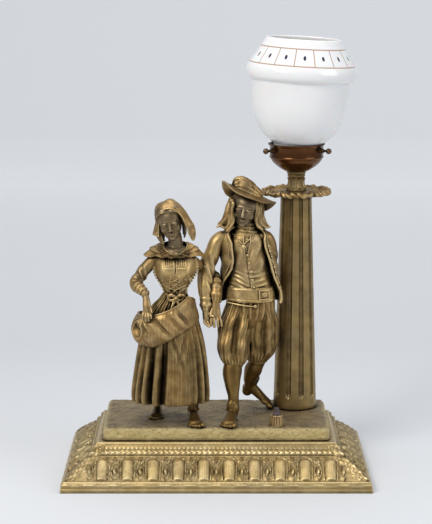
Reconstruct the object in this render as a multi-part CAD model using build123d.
from build123d import *
import math
import os

# Figural table lamp: a moulded base with a ground slab, a fluted column that carries
# an opal glass shade, and two cast figures walking hand in hand beside it.
# Millimetres. Origin: centre of the base's underside. +Z up, the front faces -Y.

# Moulded base
base_width = 318.0
base_depth = 204.0
base_wall = 3.5
ledge_height = 43.5
ledge_inset = 41.5
plinth_height = 4.0
bead_inset = 2.5
bead_top = 11.3
band_foot_inset = 5.0
band_head_inset = 28.5
band_head = 29.4
band_bulge = 1.0
band_facets = 3
rope_inset = 31.2
rope_top = 33.6
bead_roundness = 6.0
cove_roundness = 14.0
cove_inset = 35.5
seat_overlap = 8.0
band_cover = 0.6
tongue_pitch = 24.6
tongue_half_width = 6.7
tongue_half_length = 11.2
tongue_rise = 2.1
drop_half_width = 2.6
drop_half_length = 4.6
drop_rise = 1.2

# Ground slab
slab_height = 14.0
slab_wall = 3.0
slab_edge_chamfer = 2.5
slab_corner_radius = 6.0

# Bottom plate and its screws
plate_thickness = 1.2
plate_recess = 2.0
plate_clearance = 3.0
boss_width = 10.0
boss_inset = 20.0
screw_radius = 1.5
screw_length = 8.0
screw_head_radius = 3.0
screw_head_height = 1.5
screw_clearance = 0.05

# Cord inlet
inlet_height = 8.5
inlet_bore_radius = 3.0
inlet_tube_radius = 4.0
inlet_flange_radius = 5.2
inlet_flange_thickness = 1.6
inlet_length = 12.0
inlet_clearance = 0.1

# Column, placed from the right and back edges of the ground slab
column_margin_right = 33.0
column_margin_back = 29.5
column_height = 229.5
column_foot_radius = 23.1
column_head_radius = 16.3
column_wall = 5.5
flute_count = 10
flute_turn = -20.0
flute_half_angle = 7.4
flute_foot_depth = 2.6
flute_head_depth = 1.9
flute_foot_margin = 14.5
flute_round_end = 3.1

# Leaf collar and neck
collar_radius = 36.7
collar_leaves = 10
leaf_notch = 3.4
collar_hub_height = 5.5
neck_height = 20.2
neck_radius = 8.0
neck_flange_radius = 10.0

# Lamp pipe and its nuts
pipe_radius = 5.0
pipe_bore_radius = 3.6
pipe_clearance = 0.2
pipe_tail = 10.0
pipe_entry = 5.0
pipe_nut_flats = 14.0
pipe_nut_height = 5.0
pipe_nut_clearance = 0.05
washer_radius = 12.0
washer_thickness = 1.5

# Shade fitter and its thumbscrews
fitter_height = 29.7
fitter_ring_radius = 28.5
fitter_ring_foot = 15.3
fitter_flange_radius = 30.1
fitter_flange_height = 1.6
fitter_sheet = 1.0
thumbscrew_height = 23.3
thumbscrew_radius = 1.5
thumbscrew_clearance = 0.05
thumbscrew_boss_radius = 2.8
thumbscrew_boss_reach = 30.2
thumbscrew_reach = 41.0
thumbscrew_knob_radius = 3.1
thumbscrew_angles = (90.0, -30.0, -150.0)
fitter_sides = 30

# Glass shade, heights above the underside of its lip
shade_wall = 3.0
shade_lip_radius = 25.9
shade_lip_height = 3.2
shade_groove_radius = 24.4
shade_groove_top = 13.0
shade_mouth_radius = 29.0
shade_mouth_height = 17.4
shade_bowl_radius = 43.6
shade_bowl_height = 33.0
shade_body_radius = 52.4
shade_body_height = 79.5
shade_step_radius = 57.0
shade_step_height = 83.4
shade_shoulder_radius = 58.7
shade_shoulder_height = 89.6
shade_crown_radius = 43.5
shade_crown_height = 115.7
shade_rim_radius = 39.3
shade_height = 124.4
shade_lean = 3.3
shade_sides = 36
lip_gap = 0.6

# Lampholder and bulb
holder_radius = 14.0
holder_height = 32.0
holder_sheet = 1.0
holder_foot = 7.0
holder_floor = 4.2
core_radius = 12.8
core_height = 16.0
core_margin = 14.0
core_floor = 5.0
bulb_cap_radius = 7.0
bulb_cap_height = 22.0
bulb_cap_clearance = 0.2
bulb_radius = 19.0
bulb_neck = 3.0
bulb_wall = 1.0

# Push switch, placed from the column and the slab's front edge
switch_left_of_column = 22.0
switch_margin_front = 11.0
pedestal_foot_radius = 7.5
pedestal_head_radius = 5.7
pedestal_height = 11.2
pedestal_flutes = 12
pedestal_flute_depth = 0.7
button_radius = 4.0
button_gap = 0.4
button_head_radius = 2.7
button_height = 8.2
button_travel = 3.0
button_stem_radius = 1.8
button_stem_length = 12.0
button_sink = 0.3
button_stem_clearance = 0.07
bushing_radius = 3.4
bushing_clearance = 0.1
switch_nut_height = 1.6
switch_nut_gap = 1.4
switch_body_width = 16.0
switch_body_depth = 12.0
switch_body_height = 12.0
switch_body_shift = 4.0

# Terminal block and leads
block_left_of_column = 64.5
block_width = 26.0
block_depth = 14.0
block_height = 11.0
lead_radius = 1.2
lead_drop = 12.0

# Figure fixing screws
figure_screw_radius = 2.0
figure_screw_depth = 9.0
figure_screw_head_radius = 4.0
figure_screw_head_height = 2.5

# Figures, placed from the column; sides is the facet count round a small turned piece
figures_left_of_column = 84.5
figures_front_of_column = 31.0
cast_wall = 4.0
small_sides = 12
turned_sides = 20

ground_top = ledge_height + slab_height
slab_width = base_width - 2 * ledge_inset
slab_depth = base_depth - 2 * ledge_inset
column_top = ground_top + column_height
column_x = slab_width / 2 - column_margin_right
column_y = slab_depth / 2 - column_margin_back
neck_foot = column_top + collar_hub_height
neck_top = neck_foot + neck_height
fitter_top = neck_top + fitter_height
holder_seat = neck_top + fitter_sheet + pipe_nut_height
pipe_top = holder_seat + pipe_entry
switch_x = column_x - switch_left_of_column
switch_y = switch_margin_front - slab_depth / 2
column_axis = Pos(column_x, column_y, 0)
figures_origin = Pos(column_x - figures_left_of_column, column_y - figures_front_of_column, 0)


def spread(stations, steps):
    """Stations on a smooth curve through the given ones, evenly spaced."""
    spans = len(stations) - 1
    result = []
    for index in range(steps + 1):
        place = index * spans / steps
        span = min(int(place), spans - 1)
        t = place - span
        before = stations[max(span - 1, 0)]
        start = stations[span]
        end = stations[span + 1]
        after = stations[min(span + 2, spans)]
        result.append(tuple(
            0.5 * (2 * b + (c - a) * t + (2 * a - 5 * b + 4 * c - d) * t**2
                   + (3 * b - a - 3 * c + d) * t**3)
            for a, b, c, d in zip(before, start, end, after)))
    return result


def skin(rings, hollow=False):
    """Flat facets over rings with equal counts: capped, or joined last to first if hollow."""
    count = len(rings[0])
    faces = []
    if hollow:
        rings = rings + rings[:1]
    else:
        faces = [Face(Wire.make_polygon(rings[0])), Face(Wire.make_polygon(rings[-1]))]
    for low, high in zip(rings, rings[1:]):
        for index in range(count):
            after = (index + 1) % count
            faces.append(Face(Wire.make_polygon([low[index], low[after], high[after]])))
            faces.append(Face(Wire.make_polygon([low[index], high[after], high[index]])))
    return Solid(Shell(faces))


def trunk(stations, sides, steps, folds=0, fold_depth=0.0, floor=ground_top):
    """Level rings up a body or garment: (height, x, y, half width, half depth)."""
    rings = []
    for height, x, y, half_x, half_y in spread(stations, steps):
        ring = []
        for index in range(sides):
            angle = 2 * math.pi * index / sides
            swell = 1 + fold_depth * math.cos(folds * angle)
            ring.append((x + half_x * swell * math.cos(angle),
                         y + half_y * swell * math.sin(angle),
                         floor + height))
        rings.append(ring)
    return skin(rings)


def pleated(stations, steps, pleats, deep_below, flat_above):
    """As trunk, but with a corner on each pleat: (degrees right of the front, rise), fading upwards."""
    rings = []
    for height, x, y, half_x, half_y in spread(stations, steps):
        share = min(max((flat_above - height) / (flat_above - deep_below), 0.12), 1)
        ring = []
        for direction, rise in pleats:
            angle = math.radians(direction)
            ring.append((x + (half_x + rise * share) * math.sin(angle),
                         y - (half_y + rise * share) * math.cos(angle), ground_top + height))
        rings.append(ring)
    return skin(rings)


def limb(stations, sides, steps, level=(0, 1, 0)):
    """Rings square to a bent path: (x, y, height, half width, half thickness)."""
    path = spread(stations, steps)
    rings = []
    for index, (x, y, height, half_a, half_b) in enumerate(path):
        before = path[max(index - 1, 0)]
        after = path[min(index + 1, steps)]
        along = Vector(*[b - a for a, b in zip(before[:3], after[:3])]).normalized()
        across = Vector(*level).cross(along).normalized()
        through = along.cross(across)
        centre = Vector(x, y, ground_top + height)
        ring = []
        for step in range(sides):
            angle = 2 * math.pi * step / sides
            point = centre + across * (half_a * math.cos(angle)) + through * (half_b * math.sin(angle))
            ring.append(tuple(point))
        rings.append(ring)
    return skin(rings)


def trimmed(piece, *neighbours):
    """The main lump of a piece once its neighbours are cut away from it."""
    for neighbour in neighbours:
        piece = piece - neighbour
    return max(piece.solids(), key=lambda solid: solid.volume)


def lathed(points, sides, hollow=False):
    """A turned piece, given as facets, from (radius, height) corners."""
    rings = []
    for radius, height in points:
        angles = [2 * math.pi * index / sides for index in range(sides)]
        rings.append([(radius * math.cos(angle), radius * math.sin(angle), height) for angle in angles])
    return skin(rings, hollow)


def bar(radius, foot, top, sides=small_sides, around=False):
    """A faceted bar on the Z axis, with its corners or, around a bore, its flats at radius."""
    section = RegularPolygon(radius, sides, major_radius=not around)
    return Pos(0, 0, foot) * extrude(section, top - foot)


def rod(radius, foot, top):
    """A round bar on the Z axis between two heights."""
    return Pos(0, 0, foot) * Cylinder(radius, top - foot, align=(Align.CENTER, Align.CENTER, Align.MIN))


def slab_block(width, depth, foot, top):
    """A rectangular block on the Z axis between two heights."""
    block = Box(width, depth, top - foot, align=(Align.CENTER, Align.CENTER, Align.MIN))
    return Pos(0, 0, foot) * block


# Base ----------------------------------------------------------------------------------

def plain_outline(plane, half, shrink):
    """The base's inner section: the outer one without its small steps, moved in by shrink."""
    corners = [(0, 0), (0, plinth_height), (band_foot_inset, bead_top), (band_head_inset, band_head),
               (rope_inset, rope_top), (cove_inset, ledge_height)]
    right = [(half - inset - shrink, height - shrink) for inset, height in corners]
    left = [(-x, z) for x, z in reversed(right)]
    return plane * make_face(Polyline(right + left, close=True))


band_slope = math.atan2(band_head - bead_top, band_head_inset - band_foot_inset)


def band_point(share):
    """(inset, height) on the band, from its foot at 0 to its head at 1."""
    swell = 4 * band_bulge * share * (1 - share)
    return (band_foot_inset + share * (band_head_inset - band_foot_inset) - swell * math.sin(band_slope),
            bead_top + share * (band_head - bead_top) + swell * math.cos(band_slope))


def moulding_outline(plane, half):
    """The base's stepped section, drawn full width."""
    def at(inset, height, side):
        return (side * (half - inset), height)

    edges = []
    for side in (-1, 1):
        edges += [
            Line(at(0, 0, side), at(0, plinth_height, side)),
            RadiusArc(at(0, plinth_height, side), at(bead_inset, bead_top, side), side * bead_roundness),
            Line(at(bead_inset, bead_top, side), at(band_foot_inset, bead_top, side)),
            Polyline([at(*band_point(step / band_facets), side) for step in range(band_facets + 1)]),
            Line(at(band_head_inset, band_head, side), at(rope_inset, rope_top, side)),
            RadiusArc(at(rope_inset, rope_top, side), at(cove_inset, ledge_height, side),
                      -side * cove_roundness),
        ]
    edges.append(Line(at(0, 0, -1), at(0, 0, 1)))
    edges.append(Line(at(cove_inset, ledge_height, -1), at(cove_inset, ledge_height, 1)))
    return plane * make_face(edges)


def crossed(front_section, side_section):
    """Two crossed sections give the four mitred corners."""
    return extrude(front_section, base_depth, both=True) & extrude(side_section, base_width, both=True)


boss_places = [(side_x * (base_width / 2 - boss_inset), side_y * (base_depth / 2 - boss_inset))
               for side_x in (-1, 1) for side_y in (-1, 1)]
plate_top = plate_recess + plate_thickness


def band_ornament():
    """Raised tongues along the sloping band of all four sides, with small drops between them."""
    before, after = band_point((band_facets - 1) / 2 / band_facets), band_point((band_facets + 1) / 2 / band_facets)
    inset, height = (before[0] + after[0]) / 2, (before[1] + after[1]) / 2
    bury = band_bulge + band_cover
    tongue = trunk([(-bury, 0, 0, tongue_half_width, tongue_half_length),
                    (tongue_rise * 0.6, 0, 0, tongue_half_width * 0.85, tongue_half_length * 0.9),
                    (tongue_rise, 0, 0, tongue_half_width * 0.35, tongue_half_length * 0.5)], 8, 2, floor=0)
    drop = trunk([(-bury, 0, 0, drop_half_width, drop_half_length),
                  (drop_rise, 0, 0, drop_half_width * 0.4, drop_half_length * 0.4)], 4, 1, floor=0)
    raised = []
    for half_length, half_across, turn in ((base_width / 2, base_depth / 2, 0),
                                           (base_depth / 2, base_width / 2, 90)):
        count = int((half_length - band_head_inset) * 2 / tongue_pitch)
        seat = Pos(0, inset - half_across, height) * Rot(math.degrees(band_slope), 0, 0)
        for index in range(2 * count + 1):
            shift = (index - count) * tongue_pitch / 2
            ornament = tongue if index % 2 else drop
            for side in (0, 180):
                raised.append(Rot(0, 0, turn + side) * Pos(shift, 0, 0) * seat * ornament)
    return raised


def base_moulding():
    outer = crossed(moulding_outline(Plane.XZ, base_width / 2), moulding_outline(Plane.YZ, base_depth / 2))
    inner = crossed(plain_outline(Plane.XZ, base_width / 2, base_wall),
                    plain_outline(Plane.YZ, base_depth / 2, base_wall))
    shell = outer - inner
    window = slab_block(slab_width - 2 * seat_overlap, slab_depth - 2 * seat_overlap,
                        0, ledge_height + 1)
    shell -= window
    for x, y in boss_places:
        boss = Pos(x, y, 0) * slab_block(boss_width, boss_width, plate_top, ledge_height)
        shell += boss & outer
        shell -= Pos(x, y, 0) * bar(screw_radius + screw_clearance, 0, plate_top + screw_length,
                                    around=True)
    inlet_hole = bar(inlet_tube_radius + inlet_clearance, 0, inlet_length, small_sides, around=True)
    spotface = bar(inlet_flange_radius + inlet_clearance, -base_wall, bead_inset, small_sides, around=True)
    shell -= inlet_frame * inlet_hole
    shell -= inlet_frame * spotface
    return shell.fuse(*band_ornament())


def bottom_plate():
    plate = slab_block(base_width - 2 * (base_wall + plate_clearance),
                       base_depth - 2 * (base_wall + plate_clearance), plate_recess, plate_top)
    for x, y in boss_places:
        plate -= Pos(x, y, 0) * bar(screw_radius + screw_clearance, 0, plate_top, around=True)
    return plate


def pan_screw(radius, length, head_radius, head_height, head_top):
    """A screw that points up, with its head's upper face at head_top."""
    return bar(head_radius, head_top - head_height, head_top) + bar(radius, head_top, head_top + length)


def plate_screws():
    screw = pan_screw(screw_radius, screw_length, screw_head_radius, screw_head_height, plate_recess)
    return [Pos(x, y, 0) * screw for x, y in boss_places]


# The inlet's own frame: Z runs from the back face of the base straight in.
inlet_frame = Pos(column_x, base_depth / 2, inlet_height) * Rot(90, 0, 0)


def cord_bushing():
    seat = bead_inset
    face = seat - inlet_flange_thickness
    body = lathed([(inlet_flange_radius, face), (inlet_flange_radius, seat), (inlet_tube_radius, seat),
                   (inlet_tube_radius, inlet_length)], small_sides)
    return inlet_frame * (body - rod(inlet_bore_radius, face, inlet_length))


# Ground slab -----------------------------------------------------------------------------

figure_screw_places = [(-62.0, -1.0), (17.5, -26.0)]
switch_axis = Pos(switch_x, switch_y, 0)


def ground_slab():
    slab = slab_block(slab_width, slab_depth, ledge_height, ground_top)
    slab = fillet(slab.edges().filter_by(Axis.Z), slab_corner_radius)
    slab = chamfer(slab.faces().sort_by(Axis.Z)[-1].edges(), slab_edge_chamfer)
    slab -= slab_block(slab_width - 2 * seat_overlap, slab_depth - 2 * seat_overlap,
                       ledge_height, ground_top - slab_wall)
    slab -= column_axis * bar(pipe_radius + pipe_clearance, ledge_height, ground_top, around=True)
    slab -= switch_axis * bar(bushing_radius + bushing_clearance, ledge_height, ground_top, around=True)
    for x, y in figure_screw_places:
        slab -= figures_origin * Pos(x, y, 0) * bar(figure_screw_radius + screw_clearance, ledge_height,
                                                    ground_top, around=True)
    return slab


def figure_screws():
    screw = pan_screw(figure_screw_radius, slab_wall + figure_screw_depth, figure_screw_head_radius,
                      figure_screw_head_height, ground_top - slab_wall)
    return [figures_origin * Pos(x, y, 0) * screw for x, y in figure_screw_places]


# Column ----------------------------------------------------------------------------------

def column_shaft():
    """A tapered shaft whose flutes start in rounded ends and run up under the collar."""
    levels = [(0.0, 0.3, 0.0), (flute_foot_margin - flute_round_end, 0.3, 0.0),
              (flute_foot_margin - 0.7 * flute_round_end, 0.7, 0.7), (flute_foot_margin, 1.0, 1.0),
              (column_height, 1.0, 1.0)]
    across_flute = [(-1.0, 0.0), (-0.5, 0.87), (0.0, 1.0), (0.5, 0.87), (1.0, 0.0)]
    pitch = 360 / flute_count
    rings = []
    for height, width, depth in levels:
        share = height / column_height
        radius = column_foot_radius + share * (column_head_radius - column_foot_radius)
        sink = depth * (flute_foot_depth + share * (flute_head_depth - flute_foot_depth))
        ring = []
        for flute in range(flute_count):
            centre = flute_turn - 90 + flute * pitch
            spots = [(centre + offset * width * flute_half_angle, radius - cut * sink)
                     for offset, cut in across_flute]
            spots.append((centre + pitch / 2, radius))
            for degrees, reach in spots:
                angle = math.radians(degrees)
                ring.append((reach * math.cos(angle), reach * math.sin(angle), ground_top + height))
        rings.append(ring)
    for height, radius in ((column_height, column_head_radius), (0.0, column_foot_radius)):
        angles = [math.atan2(y, x) for x, y, _ in rings[0]]
        bore = radius - column_wall
        rings.append([(bore * math.cos(angle), bore * math.sin(angle), ground_top + height)
                      for angle in angles])
    return column_axis * skin(rings, hollow=True)


def leaf_collar():
    """A dished ring of leaves, each with three lobes, whose tips turn down at the rim."""
    bore = pipe_radius + pipe_clearance
    section = [(bore, 0, 0), (17.5, 0, 0), (31.0, 4.0, 0.5), (34.0, 1.8, 1.0),
               (collar_radius, 3.2, 1.0), (34.6, 7.2, 1.0), (28.5, 9.4, 0.2),
               (17.0, collar_hub_height, 0), (bore, collar_hub_height, 0)]
    lobes = (1.0, 0.15, 0.45, 0.0, 0.45, 0.15)
    sides = collar_leaves * len(lobes)
    rings = []
    for radius, height, wave in section:
        ring = []
        for index in range(sides):
            angle = 2 * math.pi * index / sides
            reach = radius - wave * leaf_notch * lobes[index % len(lobes)]
            ring.append((reach * math.cos(angle), reach * math.sin(angle), column_top + height))
        rings.append(ring)
    return column_axis * skin(rings, hollow=True)


def column_neck():
    foot = neck_foot
    bore = pipe_radius + pipe_clearance
    neck = lathed([
        (bore, foot), (10.5, foot), (neck_radius, foot + 7.0), (neck_radius + 0.4, foot + 15.0),
        (9.4, foot + 16.2), (8.8, foot + 17.2), (neck_flange_radius, neck_top - 1.6),
        (neck_flange_radius, neck_top), (bore, neck_top),
    ], turned_sides, hollow=True)
    return column_axis * neck


def lamp_pipe():
    foot = ground_top - slab_wall - pipe_tail
    return column_axis * lathed([(pipe_bore_radius, foot), (pipe_radius, foot), (pipe_radius, pipe_top),
                                 (pipe_bore_radius, pipe_top)], small_sides, hollow=True)


def hex_nut(foot):
    section = RegularPolygon(pipe_nut_flats / 2, 6, major_radius=False)
    nut = Pos(0, 0, foot) * extrude(section, pipe_nut_height)
    return column_axis * (nut - bar(pipe_radius + pipe_nut_clearance, foot, foot + pipe_nut_height,
                                    around=True))


def pipe_washer():
    top = ground_top - slab_wall
    bore = pipe_radius + pipe_clearance
    washer = lathed([(bore, top - washer_thickness), (washer_radius, top - washer_thickness),
                     (washer_radius, top), (bore, top)], small_sides, hollow=True)
    return column_axis * washer


# Shade fitter ------------------------------------------------------------------------------

fitter_floor = neck_top + fitter_sheet
ring_foot = neck_top + fitter_ring_foot
thumbscrew_z = neck_top + thumbscrew_height


def shade_fitter():
    sheet = fitter_sheet
    bowl = [(neck_flange_radius, neck_top), (18.0, neck_top + 4.6), (25.2, neck_top + 10.2)]
    outer = [(pipe_radius + pipe_clearance, neck_top)] + bowl + [
        (fitter_ring_radius, ring_foot), (fitter_ring_radius, fitter_top - fitter_flange_height),
        (fitter_flange_radius, fitter_top)]
    inner = [(fitter_ring_radius - sheet, fitter_top), (fitter_ring_radius - sheet, ring_foot)]
    inner += [(radius - 0.6 * sheet, height + sheet) for radius, height in reversed(bowl)]
    inner.append((pipe_radius + pipe_clearance, neck_top + sheet))
    fitter = lathed(outer + inner, fitter_sides, hollow=True)
    for angle in thumbscrew_angles:
        turn = Rot(0, 0, angle) * Pos(0, 0, thumbscrew_z) * Rot(0, 90, 0)
        boss = bar(thumbscrew_boss_radius, fitter_ring_radius - sheet / 2, thumbscrew_boss_reach)
        hole = bar(thumbscrew_radius + thumbscrew_clearance, fitter_ring_radius - 4,
                   thumbscrew_boss_reach, around=True)
        fitter += turn * boss
        fitter -= turn * hole
    return column_axis * fitter


def thumbscrew(angle):
    tip = shade_groove_radius + 0.5
    ball = thumbscrew_reach - thumbscrew_knob_radius
    half = thumbscrew_knob_radius * 0.7
    screw = lathed([
        (thumbscrew_radius - 0.4, tip), (thumbscrew_radius, tip + 0.4),
        (thumbscrew_radius, thumbscrew_boss_reach + 0.3), (2.2, thumbscrew_boss_reach + 0.3),
        (2.2, thumbscrew_boss_reach + 1.6), (1.3, thumbscrew_boss_reach + 2.2),
        (1.3, ball - thumbscrew_knob_radius), (half, ball - half), (thumbscrew_knob_radius, ball),
        (half, ball + half), (half / 2, thumbscrew_reach),
    ], small_sides)
    return column_axis * Rot(0, 0, angle) * Pos(0, 0, thumbscrew_z) * Rot(0, 90, 0) * screw


# Glass shade -------------------------------------------------------------------------------

shade_seat = ring_foot + lip_gap
shade_pivot = column_axis * Pos(0, 0, thumbscrew_z)
shade_frame = shade_pivot * Rot(0, shade_lean, 0) * Pos(0, 0, shade_seat - thumbscrew_z)


def glass_shade():
    wall = shade_wall
    outer = [
        (shade_lip_radius, 0), (shade_lip_radius, shade_lip_height),
        (shade_groove_radius, shade_lip_height + 1.0), (shade_groove_radius, shade_groove_top),
        (shade_mouth_radius, shade_mouth_height), (shade_bowl_radius - 6.5, shade_bowl_height - 9.5),
        (shade_bowl_radius, shade_bowl_height), (shade_bowl_radius + 5.4, shade_bowl_height + 14.5),
        (shade_body_radius - 1.0, shade_body_height - 21.0), (shade_body_radius, shade_body_height),
        (shade_step_radius, shade_step_height), (shade_shoulder_radius, shade_shoulder_height),
        (shade_shoulder_radius - 3.6, shade_shoulder_height + 8.6),
        (shade_crown_radius, shade_crown_height), (shade_rim_radius, shade_height),
    ]
    inner = [
        (shade_rim_radius - wall, shade_height), (shade_crown_radius - wall, shade_crown_height - 1.0),
        (shade_shoulder_radius - 1.5 * wall, shade_shoulder_height - 0.5 * wall),
        (shade_body_radius - wall, shade_step_height), (shade_body_radius - wall, shade_body_height),
        (shade_body_radius - wall - 3.0, shade_bowl_height + 14.5),
        (shade_bowl_radius - 0.8 * wall, shade_bowl_height + wall / 3),
        (shade_mouth_radius - 0.7 * wall, shade_mouth_height + wall),
        (shade_groove_radius - wall, shade_groove_top), (shade_groove_radius - wall, 0),
    ]
    return shade_frame * lathed(outer + inner, shade_sides, hollow=True)


# Lampholder and bulb -------------------------------------------------------------------------

core_foot = holder_seat + core_margin
cap_foot = core_foot + core_floor
cap_top = cap_foot + bulb_cap_height
bulb_centre = cap_top + bulb_radius + bulb_neck


def lampholder_shell():
    foot = holder_seat
    top = foot + holder_height
    bore = pipe_radius + pipe_nut_clearance
    shell = lathed([
        (bore, foot), (holder_foot, foot), (holder_foot, foot + 3), (holder_radius, foot + 9),
        (holder_radius, top), (holder_radius - holder_sheet, top),
        (holder_radius - holder_sheet, foot + 9.5), (holder_foot, foot + holder_floor),
        (bore, foot + holder_floor),
    ], turned_sides, hollow=True)
    return column_axis * shell


def lampholder_core():
    core = bar(core_radius, core_foot, core_foot + core_height, turned_sides)
    core -= bar(bulb_cap_radius + bulb_cap_clearance, cap_foot, core_foot + core_height, around=True)
    return column_axis * core


def bulb_cap():
    cap = lathed([(3.0, cap_foot), (bulb_cap_radius, cap_foot + 3.5), (bulb_cap_radius, cap_top)],
                 small_sides)
    return column_axis * cap


def bulb_globe():
    def bulb_outline(shrink):
        points = [(bulb_cap_radius - 0.6 - shrink, cap_top), (bulb_cap_radius - shrink, cap_top + 1.5)]
        for degrees in (-45, -15, 15, 45, 75):
            angle = math.radians(degrees)
            radius = bulb_radius - shrink
            points.append((radius * math.cos(angle), bulb_centre + radius * math.sin(angle)))
        return points

    globe = lathed(bulb_outline(0), turned_sides)
    hollow = lathed(bulb_outline(bulb_wall), small_sides)
    return column_axis * (globe - Pos(0, 0, bulb_wall) * hollow)


# Push switch -----------------------------------------------------------------------------------

pedestal_top = ground_top + pedestal_height
recess_floor = pedestal_top - button_travel - switch_nut_height - switch_nut_gap
stem_foot = pedestal_top - button_stem_length
slab_underside = ground_top - slab_wall


def switch_pedestal():
    """A fluted, tapered stand with a recess that the button sinks into."""
    facets = 3 * pedestal_flutes
    levels = [(pedestal_foot_radius, ground_top, 1), (pedestal_head_radius + 0.2, pedestal_top - 1.2, 1),
              (pedestal_head_radius, pedestal_top, 0),
              (button_radius + button_gap, pedestal_top, 0), (button_radius + button_gap, recess_floor, 0),
              (bushing_radius + bushing_clearance, recess_floor, 0),
              (bushing_radius + bushing_clearance, ground_top, 0)]
    rings = []
    for radius, height, fluted in levels:
        ring = []
        for index in range(facets):
            angle = 2 * math.pi * index / facets
            reach = radius - fluted * pedestal_flute_depth * (index % 3 == 0)
            ring.append((reach * math.cos(angle), reach * math.sin(angle), height))
        rings.append(ring)
    return switch_axis * skin(rings, hollow=True)


def switch_body():
    body = slab_block(switch_body_width, switch_body_depth, slab_underside - switch_body_height,
                      slab_underside)
    body = Pos(0, switch_body_shift, 0) * body
    body += bar(bushing_radius, slab_underside, recess_floor + switch_nut_height)
    body -= bar(button_stem_radius + button_stem_clearance, stem_foot - button_travel - 0.5, pedestal_top,
                around=True)
    return switch_axis * body


def switch_nut():
    bore = bushing_radius + bushing_clearance
    top = recess_floor + switch_nut_height
    nut = lathed([(bore, recess_floor), (button_radius, recess_floor), (button_radius, top), (bore, top)],
                 small_sides, hollow=True)
    return switch_axis * nut


def switch_button():
    foot = pedestal_top - button_sink
    top = foot + button_height
    button = lathed([
        (button_stem_radius, stem_foot), (button_stem_radius, foot),
        (button_radius, foot), (button_radius, foot + 1.4), (button_head_radius + 0.5, foot + 2.6),
        (button_head_radius, foot + 4.5), (button_head_radius, top - 1.5),
        (button_head_radius - 1.0, top - 0.3), (0.8, top),
    ], small_sides)
    return switch_axis * button


# Wiring ------------------------------------------------------------------------------------------

lead_height = slab_underside - block_height / 2
block_right = column_x - block_left_of_column + block_width / 2


def terminal_block():
    block = slab_block(block_width, block_depth, slab_underside - block_height, slab_underside)
    for index in (-1, 1):
        slot = slab_block(block_width / 5, block_depth / 3, slab_underside - block_height,
                          slab_underside - block_height / 2)
        block -= Pos(index * block_width / 4, 0, 0) * slot
    return Pos(column_x - block_left_of_column, column_y, 0) * block


def lead(points, level):
    """A round lead through (x, y, z) points."""
    stations = [(x, y, z - ground_top, lead_radius, lead_radius) for x, y, z in points]
    return limb(stations, 8, 3 * (len(stations) - 1), level)


def switch_lead():
    y = column_y - block_depth / 4
    side = switch_x - switch_body_width / 2
    turn = switch_y + switch_body_shift
    return lead([(block_right, y, lead_height), (block_right + 3, y, lead_height),
                 (block_right + 6, y, lead_height), ((block_right + side) / 2, (y + turn) / 2, lead_height),
                 (side - 6, turn, lead_height), (side - 3, turn, lead_height), (side, turn, lead_height)],
                (0, 0, 1))


def holder_lead():
    y = column_y + block_depth / 8
    low = slab_underside - pipe_tail - lead_drop
    return lead([(block_right, y, lead_height), (block_right + 3, y, lead_height),
                 (block_right + 6, y, lead_height), (column_x - 22, y, low + 4),
                 (column_x - 8, column_y, low - 1),
                 (column_x, column_y, low + 12), (column_x, column_y, low + 24),
                 (column_x, column_y, (low + pipe_top) / 2), (column_x, column_y, core_foot)], (0, 1, 0))


# Woman -------------------------------------------------------------------------------------------

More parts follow.
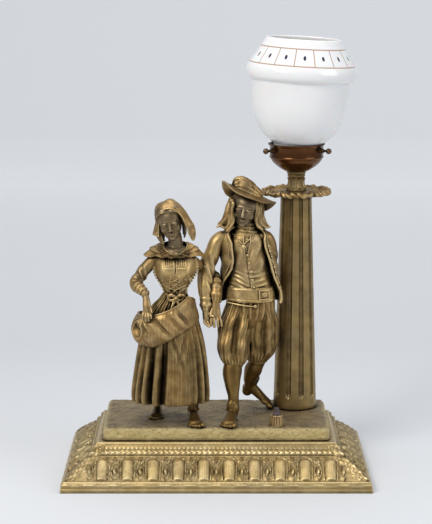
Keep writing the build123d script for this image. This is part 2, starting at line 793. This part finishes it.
def woman_pieces():
    waist = (134, -43.0, -22.0, 12.0, 10.0)
    hem = 19.5
    pleats = [
        (-175, -4.0), (-165, 0.6), (-154, -4.5), (-143, 0.6), (-132, -4.0), (-121, 0.6), (-110, -4.2),
        (-100, 0.6), (-89, -3.4), (-78, 0.6), (-67, -3.5), (-58, 1.0), (-50, -2.2), (-42, 1.0), (-33, -4.8),
        (-24, 1.8), (-14, -5.0), (-5, 0.8), (7, -0.6), (16, 0.6), (25, -1.2), (36, -1.6), (42, 0.2),
        (49, -2.8), (57, 1.6), (66, -4.0), (75, 1.4), (84, -3.6), (93, 0.6), (102, -3.6), (112, 0.6),
        (122, -4.6), (132, 0.6), (143, -4.0), (153, 0.6), (163, -4.4), (174, 0.6)]
    skirt = pleated([
        (hem, -48.2, -19, 41.8, 30.0), (27, -48.4, -19, 42.2, 29.8), (47, -47.8, -19, 40.4, 28.5),
        (77, -47.0, -19, 36.3, 25.5), (103, -47.5, -20, 31.0, 22.0), (120, -45.5, -21, 22.5, 17.0), waist,
    ], 6, pleats, 35, 112)
    hollow = trunk([
        (hem + cast_wall, -48.4, -19, 33.5, 21.5), (60, -47.4, -19, 31.0, 20.0),
        (92, -47.2, -19.5, 26.0, 17.0), (118, -45.5, -21, 16.0, 11.0)], 12, 3)
    skirt_shell = skirt - hollow
    apron = trunk([
        (68, -48.0, -20, 38.2, 28.5), (80, -49.0, -20, 38.6, 29.0), (90, -50.0, -20, 39.2, 28.5),
        (103, -48.8, -20.5, 35.3, 26.0), (117, -46.2, -21, 28.4, 21.5), (127, -44.4, -21.5, 19.6, 16.0),
        (133, -43.1, -22, 13.4, 11.6)], 18, 4)
    apron = split(apron, Plane((-70, -20, ground_top + 71), z_dir=(-0.38, 0.0, 0.925)), Keep.TOP)
    apron = split(apron, Plane((0, -9, 0), z_dir=(0, -1, 0)), Keep.TOP)
    apron = trimmed(apron, skirt)
    bodice = trunk([
        waist, (144, -43.2, -22, 14.0, 11.5), (152, -43.6, -22.5, 16.5, 13.0),
        (160, -43.6, -22.5, 18.5, 13.5), (170, -43.6, -21.5, 19.5, 12.0),
        (177, -43.6, -21, 15.5, 9.5), (182, -43.3, -21, 8.4, 7.4),
    ], 14, 5)
    head = trunk([
        (182, -43.3, -21, 6.6, 6.8), (188, -44.0, -22.3, 6.4, 6.6), (193.5, -46.2, -26, 7.0, 8.0),
        (198, -47.0, -26.8, 9.6, 11.4), (205, -47.8, -26.2, 11.4, 13.2), (213, -48.4, -24.6, 12.0, 13.8),
        (220, -48.6, -23, 10.6, 12.2), (226, -48.6, -22, 5.0, 6.0)], 12, 7)
    cape = trunk([
        (159, -43.6, -22, 24.5, 17.5), (166, -43.6, -22, 27.6, 17.6), (171, -43.6, -21.5, 28.0, 16.0),
        (176, -43.6, -21, 25.0, 13.6), (180.5, -43.4, -21, 16.5, 10.5), (184, -43.4, -21, 8.6, 8.2),
    ], 16, 3, 8, 0.035)
    cape = trimmed(cape, bodice, head)
    bonnet = trunk([
        (198, -46.2, -15.5, 15.0, 11.0), (206, -46.6, -17.5, 15.8, 14.0), (214, -47.6, -19.5, 15.2, 15.4),
        (221, -48.4, -20.5, 13.6, 14.4), (226, -48.8, -21, 10.2, 11.0), (229.4, -49.0, -21.5, 4.6, 5.0),
    ], 12, 4)
    long_flap = limb([(-35, -20, 214, 2.6, 8), (-29.5, -20, 205, 2.2, 8), (-23.5, -21, 195, 1.6, 5)], 6, 2)
    short_flap = limb([(-60, -20, 213, 2.6, 8), (-63.2, -20, 205, 2.2, 7), (-65.4, -21, 196, 1.6, 4)], 6, 2)
    face_window = Pos(-48, -45, ground_top + 205) * Box(23, 40, 24)
    bonnet = trimmed(bonnet + long_flap + short_flap, head, cape, face_window)
    right_arm = limb([
        (-60, -21, 171, 6.0, 6.4), (-67, -21, 168.5, 6.2, 6.4), (-74, -21.5, 160, 6.2, 6.4),
        (-80, -22, 151, 6.2, 6.2), (-83, -25, 142, 6.4, 6.4), (-78.5, -31, 135.5, 6.0, 6.0),
        (-73.5, -38, 131, 4.2, 4.4), (-71.5, -43, 125, 4.2, 4.6), (-70.5, -45.5, 117, 3.8, 4.6),
        (-70, -46, 109, 2.6, 3.2)], 8, 10)
    right_arm = trimmed(right_arm, bodice, cape, apron, skirt)
    left_arm = limb([
        (-27, -20, 171, 6.0, 6.4), (-21, -18, 163, 6.2, 6.4), (-16, -15, 153, 6.2, 6.2),
        (-12, -13.5, 142, 6.0, 6.0), (-8.5, -16, 131, 5.2, 5.2), (-5.5, -19.5, 120, 4.0, 4.2),
        (-4.5, -22, 112, 3.8, 4.8), (-4, -24, 103, 2.8, 3.8)], 8, 7)
    left_arm = trimmed(left_arm, bodice, cape, skirt)
    front_foot = trunk([
        (0, -23, -39, 7.0, 18.0), (3, -23, -39, 7.4, 18.3), (7, -23.5, -36, 6.6, 15.5),
        (11, -24, -32, 6.0, 11.0), (hem, -24.5, -28.5, 5.8, 8.0)], 12, 4)
    back_foot = trunk([
        (0, -62, -9, 7.0, 18.0), (3, -62, -9, 7.4, 18.3), (7, -62, -6, 6.6, 15.5),
        (11, -62, -2.5, 6.2, 11.0), (hem, -62, -0.5, 6.0, 8.0)], 12, 3)
    back_foot -= screw_hole(figure_screw_places[0])
    return {
        "woman_skirt": skirt_shell, "woman_apron": apron, "woman_bodice": bodice, "woman_cape": cape,
        "woman_head": head, "woman_bonnet": bonnet, "woman_right_arm": right_arm,
        "woman_left_arm": left_arm, "woman_front_foot": front_foot, "woman_back_foot": back_foot}


def screw_hole(place):
    return Pos(*place, 0) * bar(figure_screw_radius + screw_clearance, slab_underside,
                                ground_top + figure_screw_depth, around=True)


# Man ---------------------------------------------------------------------------------------------

def man_pieces():
    knee = 57.0
    belt_foot = 113.0
    belt_top = 125.0
    front_leg = trunk([
        (0, 14, -40, 7.2, 18.4), (3.5, 14, -40, 7.8, 18.6), (8, 15, -36.5, 7.0, 14.5),
        (13, 16.6, -31.5, 5.8, 9.6), (18, 17.4, -27.5, 5.2, 6.4), (26, 17.6, -25.5, 4.8, 5.4),
        (36, 17.4, -23.0, 6.2, 6.8), (47, 17.0, -19.5, 8.6, 8.8), (knee, 18.0, -16, 8.6, 8.8)], 12, 8)
    front_leg -= screw_hole(figure_screw_places[1])
    back_leg = trunk([
        (0, 53.5, 22, 6.0, 7.2), (4, 51.5, 21.5, 7.8, 7.6), (9, 47.5, 20.5, 8.4, 7.4),
        (14, 43, 19.5, 8.0, 7.0), (19, 38.6, 18, 8.0, 7.0), (24, 36.4, 16.5, 7.0, 6.6),
        (30, 36.6, 15, 5.4, 5.8), (38, 38.2, 13.5, 6.8, 6.8), (48, 41, 12.5, 9.2, 8.6),
        (knee, 44.5, 11.5, 8.0, 8.2)], 10, 9)
    front_thigh = trunk([
        (knee, 18.8, -14.5, 10.6, 10.6), (63, 18.4, -13, 14.0, 13.2), (75, 17.9, -10.5, 15.8, 14.8),
        (91, 18.8, -6.5, 16.0, 15.2), (103, 21, -3.5, 15.4, 14.4), (belt_foot, 23.5, -1.5, 14.0, 13.2),
    ], 16, 6, 8, 0.045)
    back_thigh = trunk([
        (knee, 44.6, 11, 9.6, 9.4), (63, 46.0, 10.5, 14.0, 12.2), (75, 47.2, 9, 15.8, 13.8),
        (91, 47.6, 6.5, 16.0, 14.4), (103, 47.8, 3.5, 15.0, 13.8), (belt_foot, 46.5, 1.5, 13.6, 12.8),
    ], 16, 6, 8, 0.045)
    hips = trunk([
        (94, 35, 0, 17, 8), (103, 35.4, 0, 23.5, 13), (belt_foot, 35.8, 0, 26.4, 14.6)], 16, 2)
    breeches = front_thigh + back_thigh + hips
    sash = trunk([
        (belt_foot, 36, 0, 25.4, 14.4), (119, 36, 0, 26.4, 15.4), (belt_top, 36, 0, 24.8, 14.2)], 16, 2)
    torso = trunk([
        (belt_top, 36, 0, 23.8, 13.4), (133, 35.8, 0, 22.8, 13), (145, 35, 0, 21.2, 13),
        (158, 34, -0.5, 20, 13.6), (172, 33, -0.5, 19.4, 13.4), (184, 32.4, 0, 19.6, 12.4),
        (193, 31.8, 0.5, 16.8, 10.5), (199, 31.4, 0, 9.6, 8.6), (204, 31, -0.5, 7.8, 7.8)], 12, 6)
    jacket = trunk([
        (117, 36.2, 1, 31.4, 19), (127, 36.4, 1, 31.2, 18.2), (141, 35.8, 1, 30.7, 17.4),
        (155, 35, 1, 30.0, 17.4), (168, 33.5, 1, 29.3, 17.0), (180, 30.5, 1, 28.6, 15.8),
        (189, 28.5, 1, 27.4, 14), (195, 28.8, 1, 23.0, 12), (200, 30.2, 0.5, 13.6, 9.8)], 16, 5)
    front = [(25, 202), (38, 202), (46, 168), (50, 142), (52, 112), (8, 112), (10, 150), (15, 182)]
    opening = make_face(Polyline([(x, -40, ground_top + z) for x, z in front], close=True))
    opening = extrude(opening, 32, dir=(0, 1, 0))
    jacket = trimmed(jacket, torso, sash, opening)
    head = trunk([
        (204, 31, -0.5, 7.0, 7.2), (207.5, 30.8, -3, 7.6, 9.4), (212, 30.5, -4.6, 9.6, 12.0),
        (219, 30.2, -4, 11.6, 13.8), (227, 30, -3, 12.2, 14.4), (234, 30, -1.5, 10.8, 12.8),
        (240.5, 30, -0.5, 4.6, 5.4)], 12, 7)
    brim = trunk([
        (-1.4, 0, 0, 22, 17), (0, 0, 0, 29.4, 23.5), (1.3, 0, 0, 28.8, 23), (3, -2.5, 0, 17.2, 15.8),
        (7, -5, 0, 15, 13.8), (11, -8.5, 0, 10.5, 10.2), (13.6, -11.5, 0, 4.6, 5)], 16, 6, floor=0)
    hat = Pos(34.4, -1, ground_top + 236.4) * Rot(0, 21.8, 0) * brim
    hat = trimmed(hat, head)
    hair = trunk([
        (197, 28, 4, 22.0, 9.0), (203, 27, 3.5, 24.6, 11.5), (211, 27.8, 2.5, 22.6, 14.0),
        (219, 28.6, 2, 19.6, 15.5), (227, 29.3, 1.5, 16.6, 16.0), (234, 29.8, 1, 13.2, 14.0),
    ], 14, 4, 7, 0.04)
    face_window = Pos(30.5, -24, ground_top + 216) * Box(20.5, 40, 40)
    hair = trimmed(hair, head, torso, jacket, hat, face_window)
    right_arm = limb([
        (4, -1, 191, 7.0, 7.6), (-0.5, -1.5, 184, 7.6, 8.2), (-3.5, -2, 174, 7.2, 8.0),
        (-8.5, -2, 163, 8.0, 8.4), (-11, -3, 152, 7.6, 8.0), (-10.6, -6.5, 140, 7.6, 7.8),
        (-7, -11, 129, 7.4, 7.4), (-5, -14.5, 120.5, 6.4, 6.6), (-3.2, -17, 114, 4.6, 5.2),
        (-3, -19.5, 106, 4.8, 6.8), (-3, -21.5, 97, 2.6, 4.0)], 10, 9)
    right_arm = trimmed(right_arm, jacket, torso)
    left_arm = limb([
        (54, 1, 191, 6.6, 7.6), (57.4, 2.5, 183, 7.0, 8.0), (58.5, 5, 172, 7.0, 7.6),
        (59, 9, 161, 6.8, 7.2), (58, 14, 150, 6.6, 7.0), (55, 18.5, 140, 6.2, 6.6),
        (50, 22, 131, 5.0, 5.4), (45.5, 23.5, 125, 4.4, 5.0), (41, 24, 121, 2.8, 4.0)], 8, 7)
    left_arm = trimmed(left_arm, jacket, torso)
    return {
        "man_front_leg": front_leg, "man_back_leg": back_leg, "man_breeches": breeches, "man_sash": sash,
        "man_torso": torso, "man_jacket": jacket, "man_head": head, "man_hair": hair, "man_hat": hat,
        "man_right_arm": right_arm, "man_left_arm": left_arm}


# All pieces --------------------------------------------------------------------------------------

pieces = {
    "base_moulding": base_moulding(),
    "bottom_plate": bottom_plate(),
    "plate_screws": plate_screws(),
    "cord_bushing": cord_bushing(),
    "ground_slab": ground_slab(),
    "figure_screws": figure_screws(),
    "column_shaft": column_shaft(),
    "leaf_collar": leaf_collar(),
    "column_neck": column_neck(),
    "lamp_pipe": lamp_pipe(),
    "pipe_washer": pipe_washer(),
    "pipe_nut": hex_nut(slab_underside - washer_thickness - pipe_nut_height),
    "fitter_nut": hex_nut(fitter_floor),
    "shade_fitter": shade_fitter(),
    "glass_shade": glass_shade(),
    "lampholder_shell": lampholder_shell(),
    "lampholder_core": lampholder_core(),
    "bulb_cap": bulb_cap(),
    "bulb_globe": bulb_globe(),
    "switch_pedestal": switch_pedestal(),
    "switch_body": switch_body(),
    "switch_nut": switch_nut(),
    "switch_button": switch_button(),
    "terminal_block": terminal_block(),
    "switch_lead": switch_lead(),
    "holder_lead": holder_lead(),
}
for number, angle in enumerate(thumbscrew_angles, 1):
    pieces[f"thumbscrew_{number}"] = thumbscrew(angle)
figures = woman_pieces() | man_pieces()
figures["woman_left_arm"] = trimmed(figures["woman_left_arm"], figures["man_right_arm"])
for name, piece in figures.items():
    pieces[name] = figures_origin * piece

os.makedirs("parts", exist_ok=True)
for name, piece in pieces.items():
    solids = piece if isinstance(piece, list) else piece.solids()
    export_step(Compound(children=list(solids)) if len(solids) > 1 else solids[0], f"parts/{name}.step")
